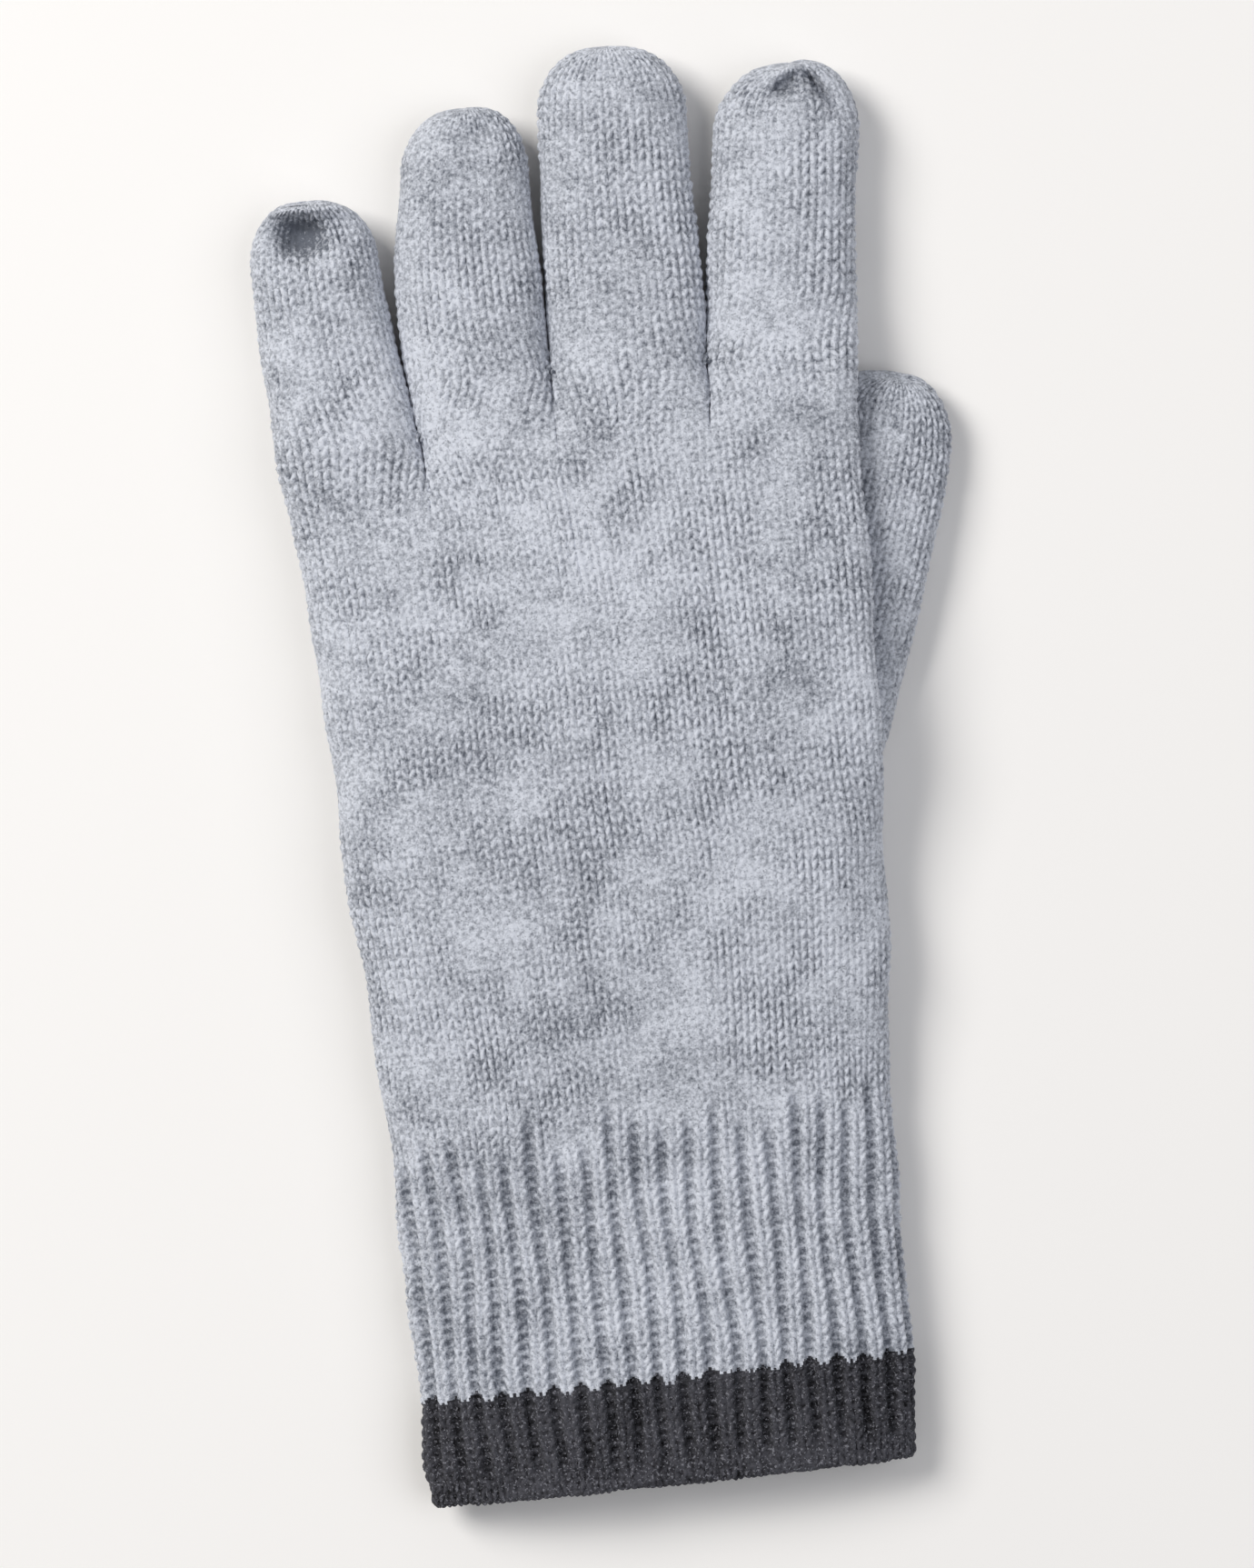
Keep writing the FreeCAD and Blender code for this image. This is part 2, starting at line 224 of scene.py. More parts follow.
def half_section(at, side, lobes, hand_ends, sink):
    """One face of the flat tube at one row, left to right, as x and z; side is +1 back, -1 palm.

    lobes holds the left and right end of each finger's share, and sink the depth of the crease
    at each of those ends."""
    xs, zs, marks = [], [], [0]
    low, high = hand_ends
    for (left, right), (sink_left, sink_right) in zip(lobes, sink):
        turn = np.linspace(0, math.pi, 61)
        share = -np.cos(turn)
        x = left + (right - left) * (share + 1) / 2
        own = sink_left + (sink_right - sink_left) * (share + 1) / 2
        whole = dome(np.clip((2 * x - low - high) / (high - low), -1, 1))
        rise = whole * (1 - own) + dome(share) * own
        bottom = palm_lift(x, at)
        top = np.maximum(thickness(at), bottom + 7)
        middle = bottom + (top - bottom) * 0.47
        z = middle + rise * (top - middle) if side > 0 else middle - rise * (middle - bottom)
        xs.append(x)
        zs.append(z)
        marks.append(marks[-1] + len(x))
    return np.concatenate(xs), np.concatenate(zs), marks


def run_length(x, z):
    """Length along a line of points, from its start to each point."""
    return np.concatenate([[0], np.cumsum(np.hypot(np.diff(x), np.diff(z)))])


def hand_row(at):
    """One row of the cuff and hand: 80 stitches round, as points; from the left side over the back
    to the right side, and home across the palm."""
    ends = float(left_edge(at)), float(right_edge(at))
    forks = [float(along(max(at, 150), *line)) for line in FORKS]
    spread = smooth(at, 110, 186)
    forks = [f * spread + (ends[0] + (ends[1] - ends[0]) * (n + 1) / 4) * (1 - spread)
             for n, f in enumerate(forks)]
    bounds = [ends[0]] + forks + [ends[1]]
    lobes = list(zip(bounds[:-1], bounds[1:]))
    depth = [float(fork_depth(n, at)) for n in range(3)]
    sink = list(zip([depth[0]] + depth, depth + [depth[2]]))
    halves = []
    for side in (1, -1):
        x, z, marks = half_section(at, side, lobes, ends, sink)
        length = run_length(x, z)
        stitch = np.linspace(0, 40, 40 * CELLS + 1)
        even = stitch / 40 * length[-1]
        corner = [length[m - 1] if m else 0 for m in marks]
        parted = np.interp(stitch, [0, 10, 20, 30, 40], corner)
        place = even * (1 - spread) + parted * spread
        halves.append(np.stack([np.interp(place, length, x), np.full(len(place), float(at)),
                                np.interp(place, length, z)], 1))
    return np.concatenate([halves[0][:-1], halves[1][:0:-1]])


def outward_of(grid, ring=True):
    """The direction that faces out of the fabric at every point of a grid of rows."""
    if ring:
        across = np.roll(grid, -1, 1) - np.roll(grid, 1, 1)
    else:
        across = np.gradient(grid, axis=1)
    out = np.cross(across, np.gradient(grid, axis=0))
    return out / np.maximum(np.linalg.norm(out, axis=2, keepdims=True), 1e-9)


def stitch_width(grid):
    """The width of the stitch at every point of a ring of rows, in mm."""
    step = np.linalg.norm(np.roll(grid, -1, 1) - grid, axis=2)
    return (step + np.roll(step, 1, 1)) / 2 * CELLS


FULL_STITCH = 2.5


def stitch_loft(grid):
    """How high the stitches stand: less where they are drawn close together."""
    return np.clip(stitch_width(grid) / FULL_STITCH, 0, 1.1)


def quads(rows, columns, ring, flip=False):
    """The faces of a grid of points, rows by columns."""
    i = np.arange(rows - 1)[:, None]
    j = np.arange(columns if ring else columns - 1)[None, :]
    k = (j + 1) % columns
    face = [i * columns + j, i * columns + k, (i + 1) * columns + k, (i + 1) * columns + j]
    return np.stack(face[::-1] if flip else face, 2).reshape(-1, 4)


def fabric_mesh(name, sheets):
    """One mesh from grids of points. A sheet is a dict: grid, ring, flip, keep (which faces) and
    per-point values; points are in mm from the hem and become metres in the glove's frame."""
    points, faces, start = [], [], 0
    values = {"wale": [], "course": [], "rib": [], "loft": [], "hollow": [], "outward": []}
    for sheet in sheets:
        grid = sheet["grid"]
        rows, columns = grid.shape[:2]
        face = quads(rows, columns, sheet["ring"], sheet.get("flip", False))
        if "keep" in sheet:
            face = face[sheet["keep"].ravel()]
        points.append(grid.reshape(-1, 3))
        faces.append(face + start)
        if sheet.get("pole"):
            middle = grid[-1].mean(0, keepdims=True)
            points.append(middle)
            ends = start + (rows - 1) * columns + np.arange(columns)
            nexts = np.roll(ends, -1)
            peak = np.full(columns, start + rows * columns)
            corner = [ends, nexts, peak] if not sheet.get("flip") else [nexts, ends, peak]
            faces.append(np.stack(corner, 1))
        for key in values:
            value = np.asarray(sheet.get(key, 0.0), float)
            shape = (rows, columns, 3) if key == "outward" else (rows, columns)
            if key == "outward" and value.ndim == 0:
                value = np.zeros(3)
            value = np.broadcast_to(value, shape).reshape(rows * columns, -1)
            if sheet.get("pole"):
                value = np.concatenate([value, value[-1:] * 0])
            values[key].append(value)
        start += rows * columns + (1 if sheet.get("pole") else 0)
    place = np.concatenate(points) * MM + np.array([0, HEM_Y * MM, 0])
    mesh = bpy.data.meshes.new(name)
    mesh.vertices.add(len(place))
    mesh.vertices.foreach_set("co", place.astype(np.float32).ravel())
    corners = np.concatenate([f.ravel() for f in faces]).astype(np.int32)
    sizes = np.concatenate([np.full(len(f), f.shape[1]) for f in faces]).astype(np.int32)
    mesh.loops.add(len(corners))
    mesh.loops.foreach_set("vertex_index", corners)
    mesh.polygons.add(len(sizes))
    mesh.polygons.foreach_set("loop_start", np.concatenate([[0], np.cumsum(sizes)[:-1]]).astype(np.int32))
    mesh.polygons.foreach_set("loop_total", sizes)
    for key, value in values.items():
        kind = "FLOAT_VECTOR" if key == "outward" else "FLOAT"
        attribute = mesh.attributes.new(key, kind, "POINT")
        flat = np.concatenate(value).astype(np.float32).ravel()
        attribute.data.foreach_set("vector" if key == "outward" else "value", flat)
    mesh.update(calc_edges=True)
    mesh.validate()
    mesh.polygons.foreach_set("use_smooth", np.ones(len(mesh.polygons), bool))
    return mesh


# Plain knitting: every stitch is a V of two legs, each leg tucked under the one above it. In the
# rib, knit columns stand out and close up over purl columns, which sink into channels dark from
# their own shadow and from painted shade.
STITCH_INPUTS = {"Leg height": 0.78, "Slant": 0.85, "Rib depth": 1.1, "Unevenness": 0.22, "Felting": 0.75,
                 "Fuzz": 0.3}


def stitch_tree():
    """The node tree that lifts a fabric's surface into stitches from its wale and course counts."""
    tree = bpy.data.node_groups.new("knit_stitches", "GeometryNodeTree")
    face = tree.interface
    face.new_socket("Geometry", in_out="INPUT", socket_type="NodeSocketGeometry")
    for name in STITCH_INPUTS:
        face.new_socket(name, in_out="INPUT", socket_type="NodeSocketFloat")
    face.new_socket("Seed", in_out="INPUT", socket_type="NodeSocketInt")
    face.new_socket("Yarn", in_out="INPUT", socket_type="NodeSocketMaterial")
    face.new_socket("Geometry", in_out="OUTPUT", socket_type="NodeSocketGeometry")
    given = tree.nodes.new("NodeGroupInput").outputs

    counted = {}
    for name in ("wale", "course", "rib", "loft", "hollow", "outward"):
        kind = "FLOAT_VECTOR" if name == "outward" else "FLOAT"
        counted[name] = add_node(tree, "GeometryNodeInputNamedAttribute", {"Name": name},
                                 data_type=kind).outputs["Attribute"]
    place = tree.nodes.new("GeometryNodeInputPosition").outputs[0]
    wander = add_node(tree, "ShaderNodeTexNoise", {"Vector": place, "Scale": 170.0, "Detail": 2.0})
    drift = add_node(tree, "ShaderNodeSeparateXYZ", {0: wander.outputs["Color"]}).outputs
    off_wale = ("MULTIPLY", ("SUBTRACT", drift[0], 0.5), given["Unevenness"])
    off_course = ("MULTIPLY", ("SUBTRACT", drift[1], 0.5), ("MULTIPLY", given["Unevenness"], 2.2))
    wale = add_node(tree, "ShaderNodeMath", {0: counted["wale"], 1: off_wale}).outputs[0]
    course = add_node(tree, "ShaderNodeMath", {0: counted["course"], 1: off_course}).outputs[0]
    milled = add_node(tree, "ShaderNodeTexNoise", {"Vector": place, "Scale": 62.0, "Detail": 2.0}).outputs[0]
    worn = add_node(tree, "ShaderNodeMapRange",
                    {"Value": milled, "From Min": 0.40, "From Max": 0.62, "To Min": 0.0,
                     "To Max": given["Felting"]}).outputs[0]
    nap = add_node(tree, "ShaderNodeTexNoise", {"Vector": place, "Scale": 1500.0, "Detail": 1.0}).outputs[0]

    def legs(across):
        """A pair of slanted legs: across is 0 in the middle of the V and 1 at its edge."""
        lane = ("POWER", ("SINE", ("MULTIPLY", across, math.pi)), 0.55)
        count = add_node(tree, "ShaderNodeMath",
                         {0: course, 1: ("MULTIPLY", across, given["Slant"])},
                         operation="SUBTRACT").outputs[0]
        strand = ("POWER", ("SINE", ("MULTIPLY", ("FRACT", count), math.pi)), 0.8)
        cell = add_node(tree, "ShaderNodeCombineXYZ",
                        {0: ("FLOOR", ("MULTIPLY", wale, 2.0)), 1: ("FLOOR", count)})
        chance = add_node(tree, "ShaderNodeTexWhiteNoise",
                          {"Vector": cell.outputs[0], "W": given["Seed"]},
                          noise_dimensions="4D").outputs["Value"]
        plump = ("ADD", 0.78, ("MULTIPLY", chance, 0.36))
        return ("MULTIPLY", ("MULTIPLY", lane, ("MULTIPLY_ADD", strand, 0.8, 0.2)), plump)

    from_middle = add_node(tree, "ShaderNodeMath",
                           {0: ("ABSOLUTE", ("SUBTRACT", ("FRACT", wale), 0.5)), 1: 2.0},
                           operation="MULTIPLY").outputs[0]
    worn_down = ("MULTIPLY", ("SUBTRACT", legs(from_middle), 0.45), ("SUBTRACT", 1.0, worn))
    plain = add_node(tree, "ShaderNodeMath", {0: worn_down, 1: 0.45}).outputs[0]
    knit_share = 0.36
    column = ("ABSOLUTE", ("SUBTRACT", ("FRACT", ("ADD", ("MULTIPLY", wale, 0.5), 0.25)), 0.5))
    inside = add_node(tree, "ShaderNodeMath", {0: ("DIVIDE", column, knit_share), 1: 1.0},
                      operation="MINIMUM").outputs[0]
    rounded = ("MAXIMUM", ("SUBTRACT", 1.0, ("POWER", inside, 2.6)), 0.0)
    crown = add_node(tree, "ShaderNodeMath", {0: rounded, 1: 0.6}, operation="POWER").outputs[0]
    pair = add_node(tree, "ShaderNodeMath", {0: legs(inside), 1: 1.25}, operation="POWER").outputs[0]
    purl = add_node(tree, "ShaderNodeMath",
                    {0: ("ABSOLUTE", ("SINE", ("MULTIPLY", course, math.pi))), 1: 2.0},
                    operation="POWER").outputs[0]
    knit_column = ("MULTIPLY", pair, given["Leg height"])
    bump = ("MULTIPLY", ("MULTIPLY", purl, ("SUBTRACT", 1.0, crown)), 0.5)
    channel = ("MULTIPLY", ("SUBTRACT", crown, 0.75), given["Rib depth"])
    ribbed = ("ADD", ("ADD", knit_column, bump), channel)
    level = ("MULTIPLY", ("SUBTRACT", plain, 0.4), given["Leg height"])
    rib = counted["rib"]
    flat = ("SUBTRACT", 1.0, rib)
    mixed = ("ADD", ("MULTIPLY", level, flat), ("MULTIPLY", ribbed, rib))
    mixed = ("ADD", mixed, ("MULTIPLY", ("SUBTRACT", nap, 0.5), given["Fuzz"]))
    # Painted shade for the rib: light on the knit columns' crowns and legs, dark in the channels between
    # them.
    rib_shade = ("ADD", ("MULTIPLY", crown, ("MULTIPLY_ADD", pair, 0.7, 0.08)), ("MULTIPLY", purl, 0.27))
    # Painted shade: high on the yarn's crests, low in the grooves between legs; the wool's colour follows it.
    shade = ("ADD", ("MULTIPLY", plain, flat), ("MULTIPLY", rib_shade, rib))
    # Painted shade in the tips' hollows: the deeper a point lies in one, the darker its wool.
    shade = ("SUBTRACT", shade, ("MULTIPLY", counted["hollow"], 1.15))
    lift = ("MULTIPLY", ("MULTIPLY", mixed, counted["loft"]), MM)
    offset = add_node(tree, "ShaderNodeVectorMath",
                      {0: counted["outward"], "Scale": lift}, operation="SCALE")
    moved = add_node(tree, "GeometryNodeSetPosition",
                     {"Geometry": given["Geometry"], "Offset": offset.outputs[0]})
    # The painted shade is stored on every point for the wool's colour to follow.
    marked = add_node(tree, "GeometryNodeStoreNamedAttribute",
                      {"Geometry": moved.outputs[0], "Name": "relief", "Value": shade},
                      data_type="FLOAT", domain="POINT")
    real = add_node(tree, "GeometryNodeRealizeInstances", {"Geometry": marked.outputs[0]})
    dyed = add_node(tree, "GeometryNodeSetMaterial",
                    {"Geometry": real.outputs[0], "Material": given["Yarn"]})
    out = tree.nodes.new("NodeGroupOutput")
    tree.links.new(dyed.outputs[0], out.inputs[0])
    return tree


knit_stitches = stitch_tree()


def knit(name, sheets, yarn, seed, **changes):
    """Makes one piece of fabric: its plain surface, then its stitches, as a finished mesh."""
    holder = bpy.data.objects.new(name + "_plain", fabric_mesh(name + "_plain", sheets))
    bpy.context.scene.collection.objects.link(holder)
    stitches = holder.modifiers.new("stitches", "NODES")
    stitches.node_group = knit_stitches
    wanted = dict(STITCH_INPUTS, **{key.replace("_", " ").capitalize(): v for key, v in changes.items()})
    wanted["Seed"] = seed
    wanted["Yarn"] = yarn
    for item in knit_stitches.interface.items_tree:
        if item.in_out == "INPUT" and item.name in wanted:
            stitches[item.identifier] = wanted[item.name]
    bpy.context.view_layer.update()
    graph = bpy.context.evaluated_depsgraph_get()
    mesh = bpy.data.meshes.new_from_object(holder.evaluated_get(graph),
                                           preserve_all_data_layers=True, depsgraph=graph)
    mesh.name = name
    bpy.data.objects.remove(holder)
    piece = bpy.data.objects.new(name, mesh)
    bpy.context.scene.collection.objects.link(piece)
    return piece


# Heather lambswool: fibres dyed light and dark are blended before spinning, so the yarn is
# speckled and the fabric cloudy. Milled soft, it takes the light with a felted bloom.
def heather_wool(name, light, dark, speck, speckle, bloom):
    """A blended wool yarn of two fibre colours, with a share of specks of a third, and painted shade: darker
    in the stitches' grooves and hollows, lighter on their crests.
    """
    made = bpy.data.materials.new(name)
    made.use_nodes = True
    tree = made.node_tree
    shader = tree.nodes["Principled BSDF"]
    place = tree.nodes.new("ShaderNodeTexCoord").outputs["Object"]
    per_mm = 1000.0
    # Size in mm, detail and roughness of each thing that varies in the wool.
    grain = {"clouds": (26.0, 3.0, 0.55), "patches": (8.0, 2.0, 0.55), "fibres": (0.75, 3.0, 0.7),
             "flecks": (0.5, 2.0, 0.6), "fuzz": (0.35, 2.0, 0.55)}
    for part, (size_mm, detail, rough) in grain.items():
        grain[part] = add_node(tree, "ShaderNodeTexNoise",
                               {"Vector": place, "Scale": per_mm / size_mm, "Detail": detail,
                                "Roughness": rough}).outputs["Fac"]
    # Painted shade: the stitches' stored shade darkens the colour in the grooves, the rib's channels and the
    # tips' hollows, and lightens it on the crests.
    relief = add_node(tree, "ShaderNodeAttribute", attribute_name="relief").outputs["Fac"]
    blend = ("ADD", ("MULTIPLY", ("SUBTRACT", grain["clouds"], 0.5), 0.8),
             ("MULTIPLY", ("SUBTRACT", grain["patches"], 0.5), 0.8))
    blend = ("ADD", blend, ("MULTIPLY", ("SUBTRACT", grain["fibres"], 0.5), 2.4))
    # Painted shade and highlight: below the middle value the wool goes darker, above it lighter.
    painted_relief_shade = ("MULTIPLY", ("SUBTRACT", relief, 0.5), 0.75)
    share = add_node(tree, "ShaderNodeMath", {0: ("ADD", 0.6, blend), 1: painted_relief_shade},
                     use_clamp=True).outputs[0]
    ramp = add_node(tree, "ShaderNodeValToRGB", {"Fac": share})
    ramp.color_ramp.elements[0].color = hex_linear(dark)
    ramp.color_ramp.elements[1].color = hex_linear(light)
    ramp.color_ramp.elements[1].position = 0.9
    specks = ("MULTIPLY", ("GREATER_THAN", grain["flecks"], 0.72 - speckle), 0.55)
    final = add_node(tree, "ShaderNodeMix",
                     {"Factor": specks, 6: ramp.outputs["Color"], 7: hex_linear(speck)},
                     data_type="RGBA")
    tree.links.new(final.outputs[2], shader.inputs["Base Color"])
    bump = add_node(tree, "ShaderNodeBump",
                    {"Height": ("ADD", grain["fibres"], grain["fuzz"]), "Strength": 0.55, "Distance": 0.0003})
    tree.links.new(bump.outputs["Normal"], shader.inputs["Normal"])
    shader.inputs["Roughness"].default_value = 0.92
    shader.inputs["Specular IOR Level"].default_value = 0.15
    shader.inputs["Sheen Weight"].default_value = bloom
    shader.inputs["Sheen Roughness"].default_value = 0.55
    shader.inputs["Sheen Tint"].default_value = hex_linear("F2F4F8")
    return made


charcoal_wool = heather_wool("charcoal_heather_lambswool", "4D4D53", "08080B", "92929A", 0.11, 0.08)


# Worked in one go from the hem to the fork of the fingers, so that the band, the rib and the
# hand share their edges. The rib runs out into plain knitting a few rows up, at its own row on
# each column.
HEM_ROWS, BAND_ROWS, WRIST_ROWS, HAND_ROWS = 1, 10, 33, 96
SKIN = 1.5

rows_at = np.arange(HEM_ROWS * ROWS, HAND_ROWS * ROWS + 1) / ROWS
body_grid = np.array([hand_row(row * COURSE) for row in rows_at])
ring = body_grid.shape[1]
body_wale = np.broadcast_to(np.arange(ring) / CELLS, body_grid.shape[:2])
body_course = np.broadcast_to(rows_at[:, None], body_grid.shape[:2])


def uneven(grid, seed, amount):
    """Soft undulations of fabric that has been worn and laid down, in mm."""
    x, y, z = grid[..., 0], grid[..., 1], grid[..., 2]
    return amount * (0.6 * ripple(x, y, z * 2, 30, seed) + 0.4 * ripple(x, y, z * 2, 13, seed + 1))


TABLE_GAP = 0.6


def laid_down(grid, lowest):
    """The same fabric pressed flat where it would sink below a height above the table."""
    grid = grid.copy()
    grid[..., 2] = lowest + 0.3 * np.logaddexp(0, (grid[..., 2] - lowest) / 0.3)
    return grid


body_out = outward_of(body_grid)
body_grid = body_grid + body_out * uneven(body_grid, 5, 0.9)[..., None]
sway = 0.9 * ripple(body_grid[..., 0], body_grid[..., 1], body_grid[..., 2], 24, 31)
cuff_share = 1 - smooth(body_grid[..., 1], 50, 95)
body_grid[..., 0] += sway * cuff_share * smooth(body_grid[..., 1], 2, 20)
body_grid = laid_down(body_grid, TABLE_GAP + 0.6 * (1 - smooth(body_grid[..., 1], 60, 72)))
body_out = outward_of(body_grid)

chance = np.random.default_rng(11)
rib_end = np.repeat(chance.uniform(60, 68, WALES // 2), 2)
column = (np.floor(body_wale - 0.5).astype(int)) % WALES
body_rib = 1 - smooth(body_course * COURSE - rib_end[column], -4, 3)
body_rib = body_rib * (0.1 + 0.9 * smooth(body_grid[..., 1], 2.5, 7.5))
body_loft = stitch_loft(body_grid)


def body_slice(low, high, columns=None, flip=False, keep=None):
    """The sheets of one length of the body: its face and, inside it, its back."""
    a, b = (low - HEM_ROWS) * ROWS, (high - HEM_ROWS) * ROWS + 1
    picked = slice(None) if columns is None else columns
    part = dict(grid=body_grid[a:b][:, picked], ring=columns is None, wale=body_wale[a:b][:, picked],
                course=body_course[a:b][:, picked], rib=body_rib[a:b][:, picked],
                loft=body_loft[a:b][:, picked], outward=body_out[a:b][:, picked])
    if keep is not None:
        part["keep"] = keep
    step = np.unique(np.append(np.arange(a, b, 2 * ROWS), b - 1))
    lining = (body_grid - SKIN * body_out)[step][:, picked]
    return [part, dict(grid=lining, ring=columns is None, flip=True)]


def hem_fold():
    """The lip of the cuff: its lowest rows turned in under themselves in a soft round edge."""
    line, out = body_grid[0], body_out[0]
    turns = np.linspace(0, math.pi, 19)
    reach = 1.75 + 0.25 * ripple(*line.T, 9, 71)
    rows = []
    ways = []
    down = np.array([0, -1.0, 0])
    for turn in turns:
        inward = SKIN / 2 * (1 - math.cos(turn))
        rows.append(line - out * inward + down * (reach * math.sin(turn))[:, None])
        ways.append(out * math.cos(turn) + down * math.sin(turn))
    grid = np.array(rows)
    course = HEM_ROWS - turns[:, None] * 0.62
    return [dict(grid=grid, ring=True, flip=True, wale=body_wale[:1], course=course,
                 rib=body_rib[:1], loft=body_loft[:1] * (0.35 + 0.65 * np.cos(turns / 2)[:, None] ** 2),
                 outward=np.array(ways))]


cast_on_edge = knit("cast_on_edge_knit", hem_fold(), charcoal_wool, 5)
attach(cast_on_edge, "cuff")
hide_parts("cast_on_edge")

# ---------------------------------------------------------------- contrast band and wrist rib
# The same 1x1 rib in two yarns, joined at a change of ball. Every stitch of the first light row
# hangs in a dark one, so the line between them is a row of teeth.
# The dark fibre colour is also the colour that the painted shade darkens the wool towards.
light_wool = heather_wool("light_heather_lambswool", "D7DBE4", "676C76", "555962", 0.075, 0.2)
face_wale = (body_wale + 0.5 / CELLS)[:-1]
face_course = (body_course + 0.5 / ROWS)[:-1]
teeth = np.abs(np.mod(face_wale * 2, 1) - 0.5)
purl_share = np.minimum(np.abs(np.mod(face_wale * 0.5 + 0.25, 1) - 0.5) / 0.36, 1) ** 3
slack = np.random.default_rng(23).uniform(-0.22, 0.22, WALES)[np.floor(face_wale).astype(int) % WALES]
is_dark = face_course - teeth - 0.5 * purl_share - slack < BAND_ROWS - 0.55


def cuff_faces(low, high, dark):
    a, b = (low - HEM_ROWS) * ROWS, (high - HEM_ROWS) * ROWS
    return is_dark[a:b] == dark


OVERLAP = 2
CUFF_RIB = 1.15
contrast_band = knit("contrast_band_knit",
                     body_slice(HEM_ROWS, BAND_ROWS + OVERLAP,
                                keep=cuff_faces(HEM_ROWS, BAND_ROWS + OVERLAP, True)),
                     charcoal_wool, 5, rib_depth=CUFF_RIB)
wrist_rib = knit("wrist_rib_knit",
                 body_slice(BAND_ROWS - OVERLAP, WRIST_ROWS,
                            keep=cuff_faces(BAND_ROWS - OVERLAP, WRIST_ROWS, False)),
                 light_wool, 5, rib_depth=CUFF_RIB)
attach(contrast_band, "cuff")
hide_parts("contrast_band")
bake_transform(wrist_rib)
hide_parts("wrist_rib")

# ---------------------------------------------------------------- hand
# Plain knitting round palm and back. The palm lies on the table and over the folded-in thumb.
HAND_PANELS = ("hand_back_outer", "hand_back_thumb_side", "hand_palm_thumb_side", "hand_palm_outer")
for count, name in enumerate(HAND_PANELS):
    columns = np.arange(count * 20 * CELLS, (count + 1) * 20 * CELLS + 1) % (WALES * CELLS)
    panel = knit(name, body_slice(WRIST_ROWS, HAND_ROWS, columns), light_wool, 7, rib_depth=CUFF_RIB)
    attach(panel, "hand")
    if count == 0:
        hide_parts("hand_tube")

# ---------------------------------------------------------------- fingers
# Each is a tube of the hand's own stitches and a few picked up at the forks, worked up to its
# length and drawn shut. The little and first fingers' gathers are turned up on the back.
# Each finger: its left and right edges beyond the fork, where its tip starts and ends.
FINGERS = {
    "little": dict(left=((186, -50.6), (204, -51.7), (221, -51.9), (232, -52.0)),
                   right=((186, -25.3), (190, -25.9), (200, -27.4), (221, -29.5), (232, -29.3)),
                   cap=221.0, tip=232.4),
    "ring": dict(left=((186, -25.3), (190, -25.8), (200, -26.4), (212, -26.8), (224, -26.0), (234, -24.2),
                       (245, -22.4)),
                 right=((186, -1.2), (196, -1.4), (210, -1.3), (225, -1.6), (245, -1.3)),
                 cap=234.0, tip=245.7),
    "middle": dict(left=((186, -1.2), (196, -1.4), (210, -0.6), (225, 0.2), (243, 1.6), (254, 3.2)),
                   right=((186, 26.2), (196, 26.3), (210, 26.9), (225, 26.6), (243, 27.1), (254, 27.6)),
                   cap=242.0, tip=254.2),
    "index": dict(left=((186, 26.2), (196, 26.3), (210, 28.0), (225, 30.3), (234, 31.4), (247, 34.8)),
                  right=((186, 51.9), (206, 53.4), (225, 55.8), (234, 56.8), (247, 59.0)),
                  cap=235.4, tip=247.8),
}


def finger_row(at, finger):
    """One row of a finger: 20 stitches and those picked up at its forks, as points in a ring."""
    order = list(FINGERS).index(finger)
    row = FINGERS[finger]
    left, right = float(along(at, *row["left"])), float(along(at, *row["right"]))
    ends = float(left_edge(min(at, 204))), float(right_edge(min(at, 206)))
    depth = [float(fork_depth(n, at)) for n in range(3)]
    near = (depth[max(order - 1, 0)], depth[min(order, 2)])
    halves = []
    for side in (1, -1):
        x, z, _ = half_section(at, side, [(left, right)], ends, [near])
        middle = half_section(at, side, [(left, right)], ends, [(1.0, 1.0)])[1][[0, -1]]
        x = np.concatenate([[left], x, [right]])
        z = np.concatenate([[middle[0]], z, [middle[1]]])
        length = run_length(x, z)
        edges, extra = [], [order > 0, order < 3]
        for end in (LEFT, RIGHT):
            fork = order - 1 if end == LEFT else order
            wall = abs(z[1] - z[0]) if end == LEFT else abs(z[-1] - z[-2])
            grown = 2.7 * float(smooth(at, PARTED[fork], PARTED[fork] + 12)) if extra[end] else 0
            edges.append(max(wall, grown) if extra[end] else 0)
        marks = [0] + [edges[0]] * extra[0] + [length[-1] - edges[1]] * extra[1] + [length[-1]]
        count = [0] + [1] * extra[0] + [10 + extra[0]] * extra[1] + [10 + extra[0] + extra[1]]
        if not extra[1]:
            count[-1] = 10 + extra[0]
        stitch = np.linspace(0, count[-1], count[-1] * CELLS + 1)
        place = np.interp(stitch, count, marks)
        halves.append(np.stack([np.interp(place, length, x), np.full(len(place), float(at)),
                                np.interp(place, length, z)], 1))
    return np.concatenate([halves[0][:-1], halves[1][:0:-1]])


TIP_ROUND = 2.08


